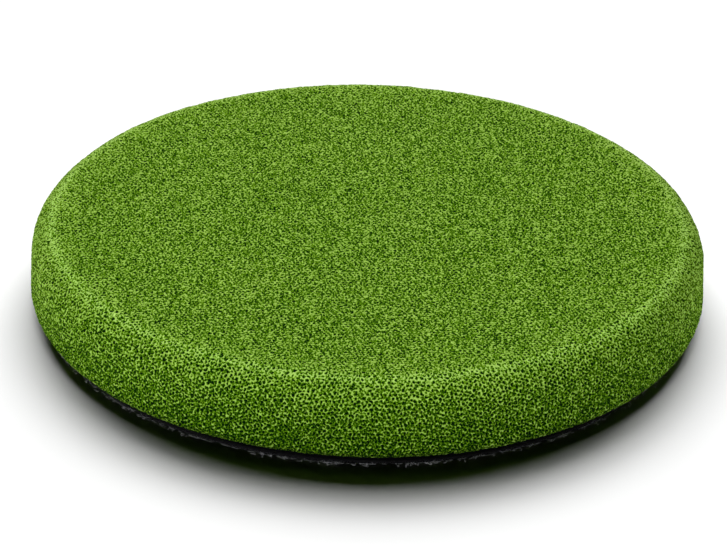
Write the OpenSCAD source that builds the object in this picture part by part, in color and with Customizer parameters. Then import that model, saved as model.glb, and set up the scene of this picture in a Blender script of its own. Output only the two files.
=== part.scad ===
// Foam polishing pad, lying on its hook-and-loop side with the working face up.
// The origin is the centre of the loop face. +Z points out of the working face.

/* [Pad] */
// Largest diameter of the foam
pad_d = 150; // [125:1:200]
// Thickness of the whole pad, from the loop face to the working face
pad_t = 20; // [18:0.5:30]

/* [Foam] */
// Radius of the round shoulder between the working face and the side
shoulder_r = 7; // [3:0.5:8]
// Lean of the side, in degrees from upright
side_lean = 3; // [0:0.5:8]
// Height of the foam's widest line above its lower face
widest_h = 2; // [1:0.5:3]
// How far the foam's lower edge lies inside its widest line
lower_edge_in = 2; // [0.5:0.5:4]

/* [Backing] */
// How far the die-cut backing lies inside the foam's widest line
backing_in = 3; // [1:0.5:10]
// Thickness of the black interlayer
interlayer_t = 1.4; // [1:0.1:3]
// Thickness of each adhesive film
film_t = 0.15; // [0.1:0.05:0.3]
// How far the adhesive films stop short of the backing's cut edge
film_in = 0.4; // [0:0.1:1]
// Thickness of the knitted ground of the loop cloth
cloth_t = 0.45; // [0.3:0.05:0.6]
// Height of the loops that stand out of the cloth
pile_t = 0.65; // [0.5:0.05:1.2]

/* [Hidden] */
$fn = 180;

// Heights of the layers, from the loop face up
cloth_z = pile_t;
loop_film_z = cloth_z + cloth_t;
interlayer_z = loop_film_z + film_t;
foam_film_z = interlayer_z + interlayer_t;
foam_z = foam_film_z + film_t;
foam_t = pad_t - foam_z;

// Radii of the outlines
widest_r = pad_d / 2;
lower_face_r = widest_r - lower_edge_in;
backing_r = widest_r - backing_in;
film_r = backing_r - film_in;

// Centre of the shoulder's arc, which touches the working face and the leaning side
arc_h = foam_t - shoulder_r;
arc_r = widest_r - (arc_h - widest_h) * tan(side_lean) - shoulder_r / cos(side_lean);
// Point where the arc runs into the side
touch_r = arc_r + shoulder_r * cos(side_lean);
touch_h = arc_h + shoulder_r * sin(side_lean);

// Half section of the foam, with its lower face at height 0
module foam_section() {
    polygon([
        [0, 0],
        [lower_face_r, 0],
        [widest_r, widest_h],
        [touch_r, touch_h],
        [arc_r, arc_h],
        [arc_r, foam_t],
        [0, foam_t]
    ]);
    translate([arc_r, arc_h])
        circle(r = shoulder_r);
}

// One layer of the backing
module layer(r, z, t) {
    translate([0, 0, z])
        cylinder(r = r, h = t);
}

// Open-cell polyurethane foam, flat on its working face
module foam_body() {
    color("yellowgreen")
        translate([0, 0, foam_z])
            rotate_extrude()
                foam_section();
}

// Film that bonds the foam to the interlayer
module foam_adhesive_film() {
    color("dimgray")
        layer(film_r, foam_film_z, film_t);
}

// Black closed-cell disc that spreads the plate's load
module interlayer_disc() {
    color("black")
        layer(backing_r, interlayer_z, interlayer_t);
}

// Film that bonds the interlayer to the loop cloth
module loop_adhesive_film() {
    color("dimgray")
        layer(film_r, loop_film_z, film_t);
}

// Knitted ground that holds the loops
module loop_cloth_ground() {
    color("darkslategray")
        layer(backing_r, cloth_z, cloth_t);
}

// Standing loops that the hooks of a backing plate catch
module loop_pile() {
    color("gray")
        layer(backing_r, 0, pile_t);
}

foam_body();
foam_adhesive_film();
interlayer_disc();
loop_adhesive_film();
loop_cloth_ground();
loop_pile();
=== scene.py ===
"""Polishing pad: a foam disc on a black interlayer with a loop cloth below it, laid on a pale floor.
Lengths in the constants are millimetres unless a comment says otherwise, and MM turns them into the frame's
metres. The materials' scales and bumps and the lights' sizes and distances are in metres."""

import math

import bpy
import numpy as np
from mathutils import Matrix, Vector
from mathutils.geometry import delaunay_2d_cdt


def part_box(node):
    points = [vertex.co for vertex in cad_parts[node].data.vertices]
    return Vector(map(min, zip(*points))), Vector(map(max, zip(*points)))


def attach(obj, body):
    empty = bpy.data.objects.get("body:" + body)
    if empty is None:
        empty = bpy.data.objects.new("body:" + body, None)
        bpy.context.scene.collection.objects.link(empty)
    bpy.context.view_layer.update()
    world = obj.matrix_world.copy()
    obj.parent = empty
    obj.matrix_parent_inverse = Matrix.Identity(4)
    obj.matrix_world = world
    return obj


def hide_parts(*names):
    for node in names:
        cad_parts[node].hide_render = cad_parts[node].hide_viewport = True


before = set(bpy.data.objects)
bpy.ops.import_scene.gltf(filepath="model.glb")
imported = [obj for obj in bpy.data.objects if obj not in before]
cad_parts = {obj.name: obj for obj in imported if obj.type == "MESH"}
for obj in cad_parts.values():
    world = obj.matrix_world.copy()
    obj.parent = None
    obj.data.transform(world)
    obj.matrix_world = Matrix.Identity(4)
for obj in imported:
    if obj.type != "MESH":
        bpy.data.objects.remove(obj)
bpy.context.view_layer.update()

MM = 0.001
TAU = 2 * math.pi
ROOT = "root"
BLACK, WHITE = (0.0, 0.0, 0.0), (1.0, 1.0, 1.0)

# Camera, in metres and radians: where it looks, how far it stands off, its tilt and its roll. Its lens and
# sensor are in millimetres
LOOK_AT = Vector((-0.8, 0.0, 5.2)) * MM
STAND_OFF = 700 * MM
ELEVATION = math.radians(28.5)
ROLL = math.radians(1.34)
LENS, SENSOR = 154.6, 36

# Half the floor's width in metres, and its grey
FLOOR_HALF, FLOOR_GREY = 4.0, 0.35

# The foam's section, as part.scad has it, but with its lower edge rounded off
SHOULDER_R = 7.0
SIDE_LEAN = math.radians(3)
LOWER_EDGE_R = 2.0

# The foam's cells: how far apart they are and, as shares of that, how far each strays from an even grid
# and how near the rim's ring it may come. Then the share of cells left out, where two have run together
CELL_PITCH = 0.955
CELL_JITTER, RING_CLEAR = 0.33, 0.6
CELLS_MERGED = 0.02
# A pit's depth as a share of its radius, and the depth, as a share of the pitch, that adds 1 to its painted
# shade
CELL_DEPTH, DARK_DEPTH = (0.85, 1.35), 0.6
# The share of the strands' joints that are cut away, and how deep as a share of half the pitch
STRANDS_CUT, CUT_DEPTH = 0.03, (0.25, 0.75)
# How far a joint stands above or below the surface, and how dark a strand is before any other tone
STRAND_RISE, STRAND_TONE = 0.07, 0.12
# Slow swells of the whole surface: each one's height and wavelength
SWELLS = ((0.06, 34.0), (0.04, 7.0))
# The shoulder's painted highlight: how much paler it is and, as shares of its arc, where that is most and how
# wide
SHOULDER_HIGHLIGHT, SHOULDER_HIGHLIGHT_AT, SHOULDER_HIGHLIGHT_W = 0.12, 0.3, 0.45
# The ridge's painted highlight: how much paler it is, how far past the flat face it runs, and how wide it is
RIDGE_HIGHLIGHT, RIDGE_RUN, RIDGE_W = 0.08, 2.6, 1.2
# The side: how much painted shade darkens its lower edge, how far up the shoulder that begins, and how much
# less its pits' painted shade shows there
SHADED, SHADED_FROM, SIDE_SOFTER = 0.24, 6.0, 0.25
# The palest and darkest tone that is kept
TONES = (-0.5, 1.2)
# Radii of the rings that close the hidden lower face
UNDER_RINGS = (71.0, 60.0, 30.0)

# A map for baked colours: its name, how far the unrolled upper surface reaches from its
# middle, and the middle and reach of the lower face in its corner
BAKE_MAP = "OFBake"
MAP_UPPER, MAP_LOWER = 0.495, (0.075, 0.065)

# The backing's discs: how many sides they have, and how far in from its rim each one's faces have a ring
DISC_SIDES = 900
INTERLAYER_RING, FILM_RING, CLOTH_RING = 12.0, 10.0, 8.0
# The interlayer's bevel and the rings up its cut edge, the bead of adhesive, and the cloth's soft edge
BEVEL, EDGE_ROWS = 0.12, 7
BEAD = 0.06
CLOTH_EDGE = 0.1
# How far the waves in a rim turn with height, in radians a millimetre
WAVE_TURN = 3

# The loop cloth's loops: how far apart they are in a row, from row to row and along the rim, how far they
# stray, and how far in from the rim the rows stop and the row along the rim runs
LOOP_GAP, LOOP_ROW, BRIM_GAP = 1.88, 1.68, 1.3
LOOP_JITTER, BRIM_JITTER = 0.22, 0.12
ROWS_IN, BRIM_IN = 0.9, 0.55
# A loop's turn in radians, its lean, half its width, its height as a share of the pile's, the power that
# rounds its tip, and how pale the tip is
LOOP_TURN, LOOP_LEAN = 0.45, 0.22
LOOP_HALF, LOOP_TALL = (0.42, 0.62), (0.80, 1.0)
LOOP_ROUND, LOOP_TIP = 0.8, 0.8
# The yarn's radius, and the steps and sides of its tube. Its map has room for three sides
YARN_R, YARN_STEPS, YARN_SIDES = 0.14, 5, 3
# Stray loops round the cut rim: how many are tried, the size of their clumps, and the level, from 0 to 1,
# above which a clump has loops
STRAYS, CLUMP, CLUMP_LEVEL = 760, 9.0, 0.3
# How far out of the rim they are, half their width, how far they hang, the height that they hang from, and
# their yarn's radius
STRAY_OUT, STRAY_HALF = (-0.1, 0.9), (0.15, 0.45)
STRAY_TALL, STRAY_TOP = (0.05, 0.35), (0.40, 0.65)
STRAY_R = (0.03, 0.055)
# Cut yarn along the rim: how far out and how far apart its pieces are, their shift along the rim in
# radians, and their length. Then how far they waver out and in, and up and down as a piece and by steps
CUT_OUT, CUT_PITCH, CUT_SHIFT, CUT_LENGTH = 0.04, 2.6, 0.008, (0.4, 2.3)
CUT_WAVER, CUT_RISE, CUT_STEP = (-0.05, 0.12), 0.05, 0.04

# What a light falls on: the pieces, or the floor below them
PAD = bpy.data.collections.new("pad")
FLOOR = bpy.data.collections.new("floor")


def piece(name, vertices, faces, material, replaced):
    """A mesh object that rides on the root body and stands for a CAD node."""
    mesh = bpy.data.meshes.new(name)
    mesh.from_pydata(np.asarray(vertices) * MM, [], faces)
    mesh.validate()
    mesh.polygons.foreach_set("use_smooth", np.full(len(mesh.polygons), True))
    mesh.materials.append(material)
    made = bpy.data.objects.new(name, mesh)
    bpy.context.scene.collection.objects.link(made)
    PAD.objects.link(made)
    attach(made, ROOT)
    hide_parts(replaced)
    return made


def give_attribute(made, name, values):
    """Stores a value on each of a piece's first vertices, and 0 on any others."""
    stored = np.zeros(len(made.data.vertices))
    stored[: len(values)] = values
    made.data.attributes.new(name, "FLOAT", "POINT").data.foreach_set("value", stored)


def give_map(made, corners):
    """Lays a piece out flat for baked colours, with a place for each corner of each face."""
    made.data.uv_layers.new(name=BAKE_MAP).data.foreach_set("uv", np.asarray(corners, "f").reshape(-1))


def disc_mm(node):
    """A round node's radius and its lowest and highest point, in millimetres."""
    low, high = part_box(node)
    return high[0] / MM, low[2] / MM, high[2] / MM


def circle(radius, theta, height):
    """Points at the given angles round the axis."""
    return np.stack([radius * np.cos(theta), radius * np.sin(theta), np.full(len(theta), height)], axis=-1)


def fan(ring, middle):
    """Faces from a ring of vertices in to one vertex in its middle."""
    return [(a, middle, b) for a, b in zip(ring.tolist(), np.roll(ring, -1).tolist())]


def ripples(rng, x, y, z, wavelength):
    """A smooth field of about -1 to 1 made of plane waves in every direction."""
    count = 9
    total = np.zeros_like(x)
    for _ in range(count):
        way = rng.normal(size=3)
        way *= TAU / (wavelength * rng.uniform(0.7, 1.4) * np.linalg.norm(way))
        total += np.sin(x * way[0] + y * way[1] + z * way[2] + rng.uniform(0, TAU))
    return total / math.sqrt(count)


# ---------------------------------------------------------------- materials


class Shader:
    """A small helper that lays out one node material."""

    def __init__(self, name):
        self.material = bpy.data.materials.new(name)
        self.material.use_nodes = True
        self.nodes = self.material.node_tree.nodes
        self.links = self.material.node_tree.links
        self.surface = self.nodes["Principled BSDF"]
        self.place = self.add("ShaderNodeTexCoord").outputs["Object"]

    def add(self, kind, **settings):
        node = self.nodes.new(kind)
        for key, value in settings.items():
            setattr(node, key, value)
        return node

    def set(self, **values):
        """Sets the shader's own sockets, named with _ for each space."""
        for key, value in values.items():
            self.surface.inputs[key.replace("_", " ")].default_value = value

    def noise(self, per_m, detail=2.0, roughness=0.5):
        node = self.add("ShaderNodeTexNoise")
        node.inputs["Scale"].default_value = per_m
        node.inputs["Detail"].default_value = detail
        node.inputs["Roughness"].default_value = roughness
        self.links.new(self.place, node.inputs["Vector"])
        return node.outputs["Fac"]

    def cells(self, per_m):
        """The distance to the nearest of randomly placed points."""
        node = self.add("ShaderNodeTexVoronoi")
        node.inputs["Scale"].default_value = per_m
        self.links.new(self.place, node.inputs["Vector"])
        return node.outputs["Distance"]

    def attribute(self, name):
        return self.add("ShaderNodeAttribute", attribute_name=name).outputs["Fac"]

    def total(self, first, second):
        node = self.add("ShaderNodeMath", operation="ADD")
        self.links.new(first, node.inputs[0])
        self.links.new(second, node.inputs[1])
        return node.outputs[0]

    def ramp(self, value, stops):
        node = self.add("ShaderNodeValToRGB")
        ramp = node.color_ramp
        while len(ramp.elements) < len(stops):
            ramp.elements.new(0.5)
        for element, (place, colour) in zip(ramp.elements, stops):
            element.position = place
            element.color = (*colour, 1.0)
        self.links.new(value, node.inputs["Fac"])
        return node.outputs["Color"]

    def tones(self, noise, dark, pale):
        """From a dark to a pale colour over the middle of a noise's range, where nearly all of it lies."""
        return self.ramp(noise, [(0.3, dark), (0.7, pale)])

    def blend(self, share, first, second, mode="MIX"):
        """Two colours mixed by a share, which is a socket or a number."""
        node = self.add("ShaderNodeMix", data_type="RGBA", blend_type=mode)
        if isinstance(share, float):
            node.inputs[0].default_value = share
        else:
            self.links.new(share, node.inputs[0])
        self.links.new(first, node.inputs[6])
        self.links.new(second, node.inputs[7])
        return node.outputs[2]

    def times(self, first, second):
        return self.blend(1.0, first, second, "MULTIPLY")

    def scaled(self, value, low, high):
        node = self.add("ShaderNodeMapRange")
        node.inputs["To Min"].default_value = low
        node.inputs["To Max"].default_value = high
        self.links.new(value, node.inputs["Value"])
        return node.outputs["Result"]

    def colour(self, value):
        self.links.new(value, self.surface.inputs["Base Color"])

    def rough(self, value):
        self.links.new(value, self.surface.inputs["Roughness"])

    def bump(self, height, distance, strength):
        node = self.add("ShaderNodeBump")
        node.inputs["Distance"].default_value = distance
        node.inputs["Strength"].default_value = strength
        self.links.new(height, node.inputs["Height"])
        self.links.new(node.outputs["Normal"], self.surface.inputs["Normal"])


def foam_material():
    """Pale strands over cells whose pits are painted dark as their shade, with cloudy tone, a finer grain of
    painted pit shade inside the cells and a painted highlight along the ridge."""
    s = Shader("foam")
    fine = s.cells(2200.0)
    grain = s.noise(1400.0, 3.0, 0.6)
    # painted shade: the deeper a pit, the darker its colour, from pale strands down to near black
    cell = s.ramp(
        s.total(s.attribute("painted_shade"), s.scaled(fine, 0.80, -0.80)),
        [
            (0.00, (0.56, 0.90, 0.15)),
            (0.13, (0.265, 0.515, 0.014)),
            (0.34, (0.120, 0.302, 0.001)),
            (0.58, (0.034, 0.140, 0.0004)),
            (0.84, (0.001, 0.014, 0.0025)),
        ],
    )
    clouds = s.tones(s.noise(55.0, 4.0, 0.6), (0.90, 0.93, 0.86), (1.05, 1.03, 1.08))
    specks = s.ramp(grain, [(0.35, (0.80, 0.83, 0.75)), (0.65, (1.12, 1.10, 1.20))])
    # painted highlight along the ridge: paler and whiter there
    paled = s.ramp(s.attribute("ridge"), [(0.0, WHITE), (1.0, (1.20, 1.17, 1.50))])
    s.colour(s.times(s.times(s.times(cell, clouds), specks), paled))
    s.rough(s.scaled(grain, 0.82, 0.98))
    s.bump(s.total(fine, grain), 0.00012, 0.6)
    s.set(Sheen_Weight=0.03, Sheen_Roughness=0.5, Sheen_Tint=(0.75, 0.9, 0.45, 1.0))
    s.set(Specular_IOR_Level=0.03)
    return s.material


def interlayer_material():
    """Black closed-cell foam with a fine matt grain."""
    s = Shader("closed_cell")
    cells = s.cells(3200.0)
    s.colour(s.tones(s.noise(700.0, 3.0), (0.003, 0.003, 0.004), (0.010, 0.010, 0.012)))
    s.rough(s.scaled(cells, 0.55, 0.85))
    s.bump(cells, 0.00006, 0.8)
    s.set(Specular_IOR_Level=0.12)
    return s.material


def adhesive_material():
    """Dark hot-melt film, smooth with shallow pulls."""
    s = Shader("adhesive")
    pulls = s.noise(900.0)
    s.colour(s.tones(pulls, (0.012, 0.013, 0.011), (0.03, 0.032, 0.026)))
    s.rough(s.scaled(pulls, 0.3, 0.55))
    s.bump(pulls, 0.00005, 0.7)
    return s.material


def cloth_material():
    """Charcoal knit."""
    s = Shader("knit")
    fibres = s.noise(4200.0, 3.0, 0.65)
    base = s.tones(fibres, (0.004, 0.004, 0.005), (0.018, 0.018, 0.02))
    mottle = s.tones(s.noise(240.0, 3.0), (0.85, 0.85, 0.86), (1.1, 1.1, 1.1))
    s.colour(s.times(base, mottle))
    s.rough(s.scaled(fibres, 0.7, 0.95))
    s.bump(fibres, 0.00006, 0.8)
    s.set(Sheen_Weight=0.1, Sheen_Roughness=0.4, Specular_IOR_Level=0.2)
    return s.material


def loop_material():
    """Black nylon yarn, brushed paler at the tips of the loops and palest where it is cut at the rim."""
    s = Shader("loop_yarn")
    filaments = s.noise(6000.0, 2.0, 0.6)
    tip = s.attribute("tip")
    root = s.tones(filaments, (0.004, 0.004, 0.005), (0.012, 0.012, 0.014))
    paled = s.tones(filaments, (0.03, 0.03, 0.032), (0.10, 0.10, 0.105))
    pale = s.tones(filaments, (0.60, 0.60, 0.62), (0.92, 0.92, 0.95))
    base = s.blend(s.ramp(tip, [(0.45, BLACK), (0.78, WHITE)]), root, paled)
    base = s.blend(s.ramp(tip, [(0.85, BLACK), (0.95, WHITE)]), base, pale)
    mottle = s.tones(s.noise(300.0, 3.0), (0.7, 0.7, 0.72), (1.2, 1.2, 1.2))
    s.colour(s.times(base, mottle))
    s.rough(s.scaled(filaments, 0.45, 0.7))
    s.bump(filaments, 0.00005, 0.6)
    s.set(Sheen_Weight=0.25, Sheen_Roughness=0.3)
    return s.material


# ---------------------------------------------------------------- foam


def foam_section(widest_r, bottom, top):
    """A function that turns a run along the half section, from the middle of the working face out and
    round to the lower face, into radius, height and the outward normal's two parts. Also the runs at which
    the face, the shoulder, the side and the lower edge end."""
    widest_z = bottom + LOWER_EDGE_R
    arc_z = top - SHOULDER_R
    arc_r = widest_r - (arc_z - widest_z) * math.tan(SIDE_LEAN) - SHOULDER_R / math.cos(SIDE_LEAN)
    turn = math.pi / 2 - SIDE_LEAN
    touch_r = arc_r + SHOULDER_R * math.cos(SIDE_LEAN)
    touch_z = arc_z + SHOULDER_R * math.sin(SIDE_LEAN)
    face = arc_r
    shoulder = SHOULDER_R * turn
    side = math.hypot(widest_r - touch_r, touch_z - widest_z)
    edge = LOWER_EDGE_R * math.pi / 2

    def at(run):
        on_arc = np.clip((run - face) / shoulder, 0, 1)
        on_side = np.clip((run - face - shoulder) / side, 0, 1)
        on_edge = np.clip((run - face - shoulder - side) / edge, 0, 1)
        angle = math.pi / 2 - on_arc * turn
        r = np.minimum(run, face) + SHOULDER_R * np.cos(angle) + on_side * (widest_r - touch_r)
        z = arc_z + SHOULDER_R * np.sin(angle) - on_side * (touch_z - widest_z)
        low_angle = -on_edge * math.pi / 2
        r += LOWER_EDGE_R * (np.cos(low_angle) - 1)
        z += LOWER_EDGE_R * np.sin(low_angle)
        facing = angle + low_angle * (1 + SIDE_LEAN / (math.pi / 2))
        return r, z, np.cos(facing), np.sin(facing)

    return at, np.cumsum([face, shoulder, side, edge])


def cell_centres(rng, reach):
    """Jittered points a cell apart over a flat disc, with an even ring of points on its rim first."""
    row = CELL_PITCH * math.sqrt(3) / 2
    rows = int(reach / row) + 2
    across = int(reach / CELL_PITCH) + 2
    j, i = np.mgrid[-rows : rows + 1, -across : across + 1]
    points = np.stack([(i + 0.5 * (j % 2)) * CELL_PITCH, j * row], axis=-1).reshape(-1, 2)
    points += rng.uniform(-CELL_JITTER, CELL_JITTER, points.shape) * CELL_PITCH
    far = np.hypot(points[:, 0], points[:, 1])
    kept = (far < reach - RING_CLEAR * CELL_PITCH) & (rng.random(len(points)) > CELLS_MERGED)
    around = int(TAU * reach / CELL_PITCH)
    angle = np.arange(around) * TAU / around
    ring = reach * np.stack([np.cos(angle), np.sin(angle)], axis=-1)
    return np.vstack([ring, points[kept]]), around


def cell_triangles(flat):
    """Triangles between neighbouring centres, all of them turned to face up."""
    made = delaunay_2d_cdt([Vector(p) for p in flat], [], [], 0, 1e-6, False)
    triangles = np.array(made[2])
    corners = flat[triangles]
    turned = np.cross(corners[:, 1] - corners[:, 0], corners[:, 2] - corners[:, 0]) < 0
    triangles[turned] = triangles[turned][:, ::-1]
    return triangles


def cell_faces(triangles, centres):
    """Each centre's fan of faces to the middles of the triangles round it. Middles are numbered after
    the centres, and a rim edge closes with the middle of its one triangle."""
    starts = triangles.reshape(-1)
    ends = np.roll(triangles, -1, axis=1).reshape(-1)
    owner = np.repeat(np.arange(len(triangles)), 3)
    across = {(a, b): t for a, b, t in zip(starts.tolist(), ends.tolist(), owner.tolist())}
    faces = []
    for (a, b), t in across.items():
        other = across.get((b, a))
        faces.append((a, b, centres + t) if other is None else (a, centres + other, centres + t))
    return faces


def cell_radii(flat, triangles, middles):
    """How far each centre is from the middles of its triangles, on average."""
    owner = triangles.reshape(-1)
    arm = np.linalg.norm(flat[owner] - np.repeat(middles, 3, axis=0), axis=1)
    return np.bincount(owner, arm, len(flat)) / np.bincount(owner, minlength=len(flat))


def tone_along(run, stops):
    """How much darker than the flat face the cells are painted: a painted highlight on the shoulder,
    strongest along the ridge where the face turns over, and painted shade on the side that deepens towards
    the lower edge. Also how near the ridge and how far down the side a run is, each from 0 to 1."""
    face, shoulder, _, reach = stops
    arc = shoulder - face
    # painted highlight on the shoulder and along the ridge
    shoulder_highlight = np.exp(-(((run - face - SHOULDER_HIGHLIGHT_AT * arc) / (SHOULDER_HIGHLIGHT_W * arc)) ** 2))
    ridge = np.exp(-(((run - face - RIDGE_RUN) / RIDGE_W) ** 2))
    # painted shade that deepens down the side
    down = np.clip((run - shoulder + SHADED_FROM) / (reach - shoulder + SHADED_FROM), 0, 1)
    down = down * down * (3 - 2 * down)
    return SHADED * down - SHOULDER_HIGHLIGHT * shoulder_highlight - RIDGE_HIGHLIGHT * ridge, ridge, down


def close_below(vertices, faces, around, bottom):
    """The foam with its hidden lower face added: rings drawn in from the rim, which is the first vertices,
    to one middle point."""
    theta = np.arange(around) * TAU / around
    ring, first = np.arange(around), len(vertices)
    rings, faces = [vertices], list(faces)
    for radius in UNDER_RINGS:
        inner = first + np.arange(around)
        after = np.roll(inner, -1).tolist()
        rings.append(circle(radius, theta, bottom))
        faces += list(zip(ring.tolist(), inner.tolist(), after))
        faces += list(zip(ring.tolist(), after, np.roll(ring, -1).tolist()))
        ring, first = inner, first + around
    rings.append(np.array([[0.0, 0.0, bottom]]))
    return np.vstack(rings), faces + fan(ring, first)


def foam_map(foam, top_faces, flat, reach):
    """The unrolled upper surface fills the map's square, and the hidden lower face lies in a corner of it."""
    count = len(foam.data.loops)
    vertex = np.zeros(count, int)
    foam.data.loops.foreach_get("vertex_index", vertex)
    place = np.zeros(3 * len(foam.data.vertices))
    foam.data.vertices.foreach_get("co", place)
    place = place.reshape(-1, 3)[:, :2]
    upper = np.zeros_like(place)
    upper[: len(flat)] = 0.5 + MAP_UPPER * flat / reach
    lower = MAP_LOWER[0] + MAP_LOWER[1] * place / np.abs(place).max()
    on_top = np.arange(count) < 3 * top_faces
    give_map(foam, np.where(on_top[:, None], upper[vertex], lower[vertex]))


def make_foam():
    """One closed mesh. Its upper surface is laid out flat as cells, which are then pressed into pits and
    wrapped round the section."""
    rng = np.random.default_rng(11)
    widest_r, bottom, top = disc_mm("foam_body")
    section, stops = foam_section(widest_r, bottom, top)
    flat, around = cell_centres(rng, stops[-1])
    count = len(flat)
    triangles = cell_triangles(flat)
    middles = flat[triangles].mean(axis=1)
    radii = cell_radii(flat, triangles, middles)

    points = np.vstack([flat, middles])
    run = np.hypot(points[:, 0], points[:, 1])
    angle = np.arctan2(points[:, 1], points[:, 0])
    r, z, out_r, out_z = section(run)
    x, y = r * np.cos(angle), r * np.sin(angle)

    # centres drop into pits, apart from the rim's ring, and some joints between strands are cut away
    drop = np.zeros(len(points))
    drop[:count] = radii * rng.uniform(*CELL_DEPTH, count)
    drop[:around] = 0
    cut = rng.random(len(middles)) < STRANDS_CUT
    drop[count:][cut] = CELL_PITCH / 2 * rng.uniform(*CUT_DEPTH, cut.sum())
    tone, ridge, down = tone_along(run, stops)
    # painted shade: each pit's by its depth, softer on the side, plus the side's painted shade, less the
    # painted highlights
    painted_shade = STRAND_TONE + drop / (CELL_PITCH * DARK_DEPTH) * (1 - SIDE_SOFTER * down) + tone
    drop[count:] -= STRAND_RISE * rng.uniform(-1, 1, len(middles))
    push = sum(height * ripples(rng, x, y, z, length) for height, length in SWELLS) - drop
    x += push * out_r * np.cos(angle)
    y += push * out_r * np.sin(angle)
    z += push * out_z

    top_faces = cell_faces(triangles, count)
    vertices, faces = close_below(np.stack([x, y, z], axis=-1), top_faces, around, bottom)
    foam = piece("foam", vertices, faces, foam_material(), "foam_body")
    give_attribute(foam, "painted_shade", np.clip(painted_shade, *TONES))
    give_attribute(foam, "ridge", ridge)
    foam_map(foam, len(top_faces), points, stops[-1])


# ---------------------------------------------------------------- backing


def with_faces(rim, ring_r):
    """A disc's half section, as (radius, height) from the top's middle to the bottom's: its rim, given from
    the top down, with a ring on each face and the two middles."""
    top, bottom = rim[0][1], rim[-1][1]
    return [(0, top), (ring_r, top), *rim, (ring_r, bottom), (0, bottom)]


def turned_disc(name, node, section, material, ruffle):
    """A disc turned from a half section, with its rings moved out and in by ruffle(angle, height)."""
    theta = np.arange(DISC_SIDES) * TAU / DISC_SIDES
    vertices, faces, ring = [np.array([[0.0, 0.0, section[0][1]]])], [], None
    first = 1
    for radius, height in section[1:-1]:
        vertices.append(circle(radius + ruffle(theta, height), theta, height))
        new = first + np.arange(DISC_SIDES)
        after = np.roll(new, -1).tolist()
        if ring is None:
            faces += [(0, a, b) for a, b in zip(new.tolist(), after)]
        else:
            faces += list(zip(ring.tolist(), new.tolist(), after, np.roll(ring, -1).tolist()))
        ring, first = new, first + DISC_SIDES
    vertices.append(np.array([[0.0, 0.0, section[-1][1]]]))
    faces += fan(ring, first)
    return piece(name, np.vstack(vertices), faces, material, node)


def waves(rng, lobes, size):
    """A function of angle that sums waves with the given numbers of lobes, and turns them with height."""
    phases = rng.uniform(0, TAU, len(lobes))

    def at(theta, height=0.0):
        total = sum(np.sin(n * theta + p + height * WAVE_TURN) for n, p in zip(lobes, phases))
        return size * total / math.sqrt(len(lobes))

    return at


def make_interlayer():
    """The closed-cell disc, bevelled and slightly wavy where it is cut."""
    rng = np.random.default_rng(23)
    r, bottom, top = disc_mm("interlayer_disc")
    edge = [(r, height) for height in np.linspace(top - BEVEL, bottom + BEVEL, EDGE_ROWS)]
    rim = [(r - BEVEL, top), *edge, (r - BEVEL, bottom)]
    slow = waves(rng, [3, 5, 8, 13], size=0.08)
    quick = waves(rng, [97, 141, 203, 277], size=0.03)
    turned_disc(
        "interlayer",
        "interlayer_disc",
        with_faces(rim, r - INTERLAYER_RING),
        interlayer_material(),
        lambda theta, height: slow(theta) + quick(theta, height),
    )


def make_adhesive(name, node, seed, material):
    """A film whose squeezed-out rim is a low uneven bead."""
    rng = np.random.default_rng(seed)
    r, bottom, top = disc_mm(node)
    section = with_faces([(r, top), (r + BEAD, (bottom + top) / 2), (r, bottom)], r - FILM_RING)
    bead = waves(rng, [7, 19, 31, 53, 89, 131], size=0.1)
    turned_disc(name, node, section, material, lambda theta, height: bead(theta))


def make_ground():
    """The knit that holds the loops, with a soft cut edge."""
    rng = np.random.default_rng(31)
    r, bottom, top = disc_mm("loop_cloth_ground")
    rim = [(r - CLOTH_EDGE, top), (r, (bottom + top) / 2), (r - CLOTH_EDGE, bottom)]
    cut = waves(rng, [4, 9, 211, 307], size=0.05)
    return turned_disc(
        "loop_cloth",
        "loop_cloth_ground",
        with_faces(rim, r - CLOTH_RING),
        cloth_material(),
        lambda theta, height: cut(theta),
    )


def arches(rng, base, facing, half, tall, top):
    """Paths of yarn that leave the ground at top, hang down by tall and come back, one for each base."""
    lean = rng.normal(0, LOOP_LEAN, (len(base), 2))
    sweep = np.linspace(0, math.pi, YARN_STEPS + 1)
    along = -np.cos(sweep) * half[:, None]
    down = np.sin(sweep) ** LOOP_ROUND
    x = base[:, 0, None] + along * np.cos(facing)[:, None] + lean[:, 0, None] * down
    y = base[:, 1, None] + along * np.sin(facing)[:, None] + lean[:, 1, None] * down
    return np.stack([x, y, top[:, None] - tall[:, None] * down], axis=-1)


def standing_loops(rng, reach, bottom, top):
    """Paths of loops in staggered rows, and of a closer row along the rim."""
    count = int(reach / LOOP_ROW) + 1
    j, i = np.mgrid[-count : count + 1, -count : count + 1]
    base = np.stack([(i + 0.5 * (j % 2)) * LOOP_GAP, j * LOOP_ROW], axis=-1).reshape(-1, 2)
    base += rng.uniform(-LOOP_JITTER, LOOP_JITTER, base.shape)
    base = base[np.hypot(base[:, 0], base[:, 1]) < reach - ROWS_IN]
    angle = np.arange(0, TAU, BRIM_GAP / reach)
    brim = (reach - BRIM_IN) * np.stack([np.cos(angle), np.sin(angle)], axis=-1)
    base = np.vstack([base, brim + rng.uniform(-BRIM_JITTER, BRIM_JITTER, brim.shape)])
    n = len(base)
    facing = rng.normal(0, LOOP_TURN, n)
    facing[-len(brim) :] = np.arctan2(brim[:, 1], brim[:, 0]) + math.pi / 2
    tall = (top - bottom) * rng.uniform(*LOOP_TALL, n) - YARN_R
    return arches(rng, base, facing, rng.uniform(*LOOP_HALF, n), tall, np.full(n, top))


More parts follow.
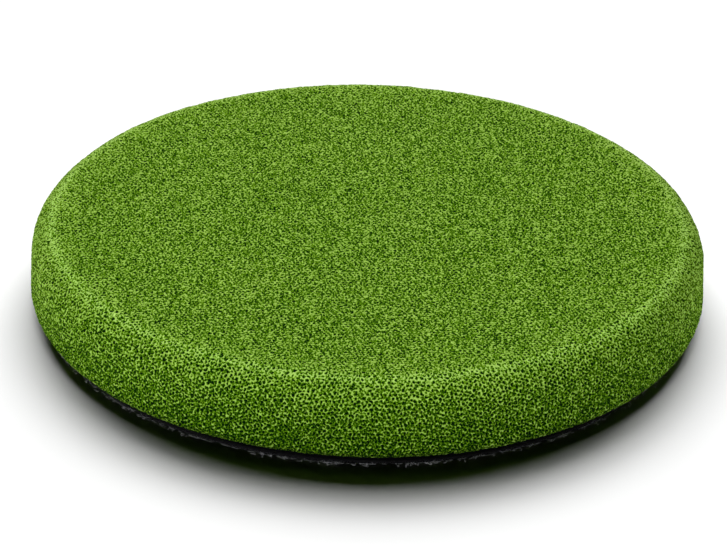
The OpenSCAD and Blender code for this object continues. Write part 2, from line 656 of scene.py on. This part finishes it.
def stray_loops(rng, reach):
    """Paths of thin loops that come out of the cut rim in clumps."""
    angle = rng.uniform(0, TAU, STRAYS)
    x, y = reach * np.cos(angle), reach * np.sin(angle)
    clump = 0.5 + 0.5 * ripples(rng, x, y, np.zeros(STRAYS), CLUMP)
    angle = angle[clump > CLUMP_LEVEL]
    n = len(angle)
    out = reach + rng.uniform(*STRAY_OUT, n)
    base = out[:, None] * np.stack([np.cos(angle), np.sin(angle)], axis=-1)
    facing = rng.uniform(0, TAU, n)
    half = rng.uniform(*STRAY_HALF, n)
    tall = rng.uniform(*STRAY_TALL, n)
    return arches(rng, base, facing, half, tall, rng.uniform(*STRAY_TOP, n))


def cut_ends(rng, reach, height):
    """Paths of cut yarn that lie along the cloth's rim in pieces of uneven length."""
    n = int(TAU * reach / CUT_PITCH)
    start = np.arange(n) * TAU / n + rng.uniform(-CUT_SHIFT, CUT_SHIFT, n)
    span = rng.uniform(*CUT_LENGTH, n) / reach
    angle = start[:, None] + span[:, None] * np.linspace(0, 1, YARN_STEPS + 1)
    r = reach + rng.uniform(*CUT_WAVER, angle.shape)
    z = height + rng.normal(0, CUT_RISE, (n, 1)) + rng.uniform(-CUT_STEP, CUT_STEP, angle.shape)
    return np.stack([r * np.cos(angle), r * np.sin(angle), z], axis=-1)


def yarn_tubes(path, radius):
    """Tubes along the paths, as vertices in a block of paths, steps and sides, and faces."""
    way = np.gradient(path, axis=1)
    way /= np.linalg.norm(way, axis=2, keepdims=True)
    chord = path[:, -1] - path[:, 0]
    flat_side = np.stack([-chord[:, 1], chord[:, 0], np.zeros(len(chord))], axis=-1)
    flat_side /= np.linalg.norm(flat_side, axis=1, keepdims=True)
    flat_side = np.broadcast_to(flat_side[:, None, :], way.shape)
    other = np.cross(way, flat_side)
    turn = [TAU * k / YARN_SIDES for k in range(YARN_SIDES)]
    offset = np.stack([math.cos(a) * flat_side + math.sin(a) * other for a in turn], axis=2)
    vertices = path[:, :, None, :] + radius[:, None, None, None] * offset
    index = np.arange(vertices[..., 0].size).reshape(vertices.shape[:3])
    a, b = index[:, :-1], index[:, 1:]
    quads = np.stack([a, np.roll(a, -1, axis=2), np.roll(b, -1, axis=2), b], axis=-1).reshape(-1, 4)
    first, last = index[:, 0], index[:, -1]
    return vertices, quads.tolist() + first[:, ::-1].tolist() + last.tolist()


def tube_map(count):
    """Places on the map for baked colours for the corners of so many tubes' faces. Each tube has a small
    square, with its wall unrolled in a grid and its two caps beside that."""
    across = math.ceil(math.sqrt(count))
    step, side = np.mgrid[0:YARN_STEPS, 0:YARN_SIDES]
    corners = ((0, 0), (0, 1), (1, 1), (1, 0))
    walls = np.stack([np.stack([step + a, side + b], axis=-1) for a, b in corners], axis=2).reshape(-1, 2)
    cap = np.array([(0.3, 0.2), (0.9, 0.2), (0.3, 0.9)]) + (YARN_STEPS, 0)
    square = np.array([YARN_STEPS + 1.2, YARN_SIDES + 0.4])
    cell = np.stack([np.arange(count) % across, np.arange(count) // across], axis=-1)[:, None, :]
    laid = [(cell + 0.05 + 0.9 * local / square) / across for local in (walls, cap, cap + (0, 1.2))]
    return np.vstack([part.reshape(-1, 2) for part in laid])


def make_loops():
    """The loops that stand under the ground, and pale cut ends and stray loops where the die cut it."""
    rng = np.random.default_rng(41)
    reach, bottom, top = disc_mm("loop_pile")
    standing = standing_loops(rng, reach, bottom, top)
    strays = stray_loops(rng, reach)
    thin = np.concatenate([strays, cut_ends(rng, reach + CUT_OUT, (bottom + top) / 2)])
    path = np.concatenate([standing, thin])
    radius = np.concatenate([np.full(len(standing), YARN_R), rng.uniform(*STRAY_R, len(thin))])
    vertices, faces = yarn_tubes(path, radius)
    vertices[..., 2] = np.clip(vertices[..., 2], bottom, None)
    loops = piece("loop_yarn", vertices.reshape(-1, 3), faces, loop_material(), "loop_pile")
    tip = LOOP_TIP * (top - vertices[..., 2]) / (top - bottom)
    tip[len(standing) :] = 1.0
    give_attribute(loops, "tip", np.clip(tip, 0, 1).reshape(-1))
    give_map(loops, tube_map(len(path)))
    return loops


# ---------------------------------------------------------------- stage


def make_camera():
    """A long lens that looks down on the pad from the front."""
    back = Vector((0, -math.cos(ELEVATION), math.sin(ELEVATION)))
    camera = bpy.data.objects.new("camera", bpy.data.cameras.new("camera"))
    camera.data.sensor_width = SENSOR
    camera.data.lens = LENS
    camera.data.clip_start = 0.01
    camera.data.clip_end = 50
    place = Matrix.Translation(LOOK_AT + back * STAND_OFF)
    turn = (-back).to_track_quat("-Z", "Y").to_matrix().to_4x4()
    camera.matrix_world = place @ turn @ Matrix.Rotation(ROLL, 4, "Z")
    bpy.context.scene.collection.objects.link(camera)
    bpy.context.scene.camera = camera


def make_floor():
    """A plain floor, whose grey its own lights bring up to white."""
    s = Shader("floor")
    s.set(Base_Color=(FLOOR_GREY, FLOOR_GREY, FLOOR_GREY, 1.0), Roughness=0.9, Specular_IOR_Level=0.1)
    corners = [(FLOOR_HALF * x, FLOOR_HALF * y, 0) for x, y in ((-1, -1), (1, -1), (1, 1), (-1, 1))]
    mesh = bpy.data.meshes.new("floor")
    mesh.from_pydata(corners, [], [(0, 1, 2, 3)])
    mesh.materials.append(s.material)
    floor = bpy.data.objects.new("floor", mesh)
    bpy.context.scene.collection.objects.link(floor)
    FLOOR.objects.link(floor)


def lamp_at(name, kind, azimuth, elevation, distance, only):
    """A lamp that faces the pad and falls on one collection alone. Angles are in degrees, with azimuth 0
    behind the pad and 90 on its right."""
    lamp = bpy.data.objects.new(name, bpy.data.lights.new(name, kind))
    around, up = math.radians(azimuth), math.radians(elevation)
    way = Vector((math.sin(around) * math.cos(up), math.cos(around) * math.cos(up), math.sin(up)))
    lamp.location = way * distance
    lamp.rotation_mode = "QUATERNION"
    lamp.rotation_quaternion = (-way).to_track_quat("-Z", "Y")
    lamp.light_linking.receiver_collection = only
    bpy.context.scene.collection.objects.link(lamp)
    return lamp


def softbox(name, azimuth, elevation, watts, size=0.6, distance=1.0):
    """A square studio light for the pad."""
    lamp = lamp_at(name, "AREA", azimuth, elevation, distance, PAD)
    lamp.data.size = size
    lamp.data.energy = watts


def floor_sun(name, azimuth, elevation, strength, spread):
    """A broad even light for the floor, in which the pad casts its shadow."""
    lamp = lamp_at(name, "SUN", azimuth, elevation, 1.0, FLOOR)
    lamp.data.energy = strength
    lamp.data.angle = math.radians(spread)


def make_lights():
    """Two pairs of suns behind the pad for the floor, and softboxes all round for the pad."""
    for side, azimuth in (("left", -18), ("right", 18)):
        floor_sun("floor_low_" + side, azimuth, 38, 3.93, 30)
        floor_sun("floor_high_" + side, azimuth, 53, 2.91, 36)
    softbox("left", -80, 66, 1.5)
    softbox("right", 85, 56, 0.95)
    softbox("front", 180, 64, 1.45)
    softbox("front_left", -144, 34, 3.0)
    softbox("front_right", 108, 24, 0.85)
    softbox("behind", 0, 58, 0.87, size=0.5, distance=0.7)


def make_world():
    """A white surround that the camera sees and that lights nothing."""
    world = bpy.data.worlds.new("world")
    world.use_nodes = True
    surround = world.node_tree.nodes["Background"]
    surround.inputs["Color"].default_value = (*WHITE, 1.0)
    surround.inputs["Strength"].default_value = 1.0
    for rays in ("diffuse", "glossy", "transmission", "scatter"):
        setattr(world.cycles_visibility, rays, False)
    bpy.context.scene.world = world


make_camera()
make_floor()
make_world()
make_lights()

adhesive = adhesive_material()
make_foam()
make_interlayer()
make_adhesive("foam_glue_line", "foam_adhesive_film", 51, adhesive)
make_adhesive("loop_glue_line", "loop_adhesive_film", 52, adhesive)
ground = make_ground()
loops = make_loops()

bpy.context.scene.view_settings.view_transform = "Standard"
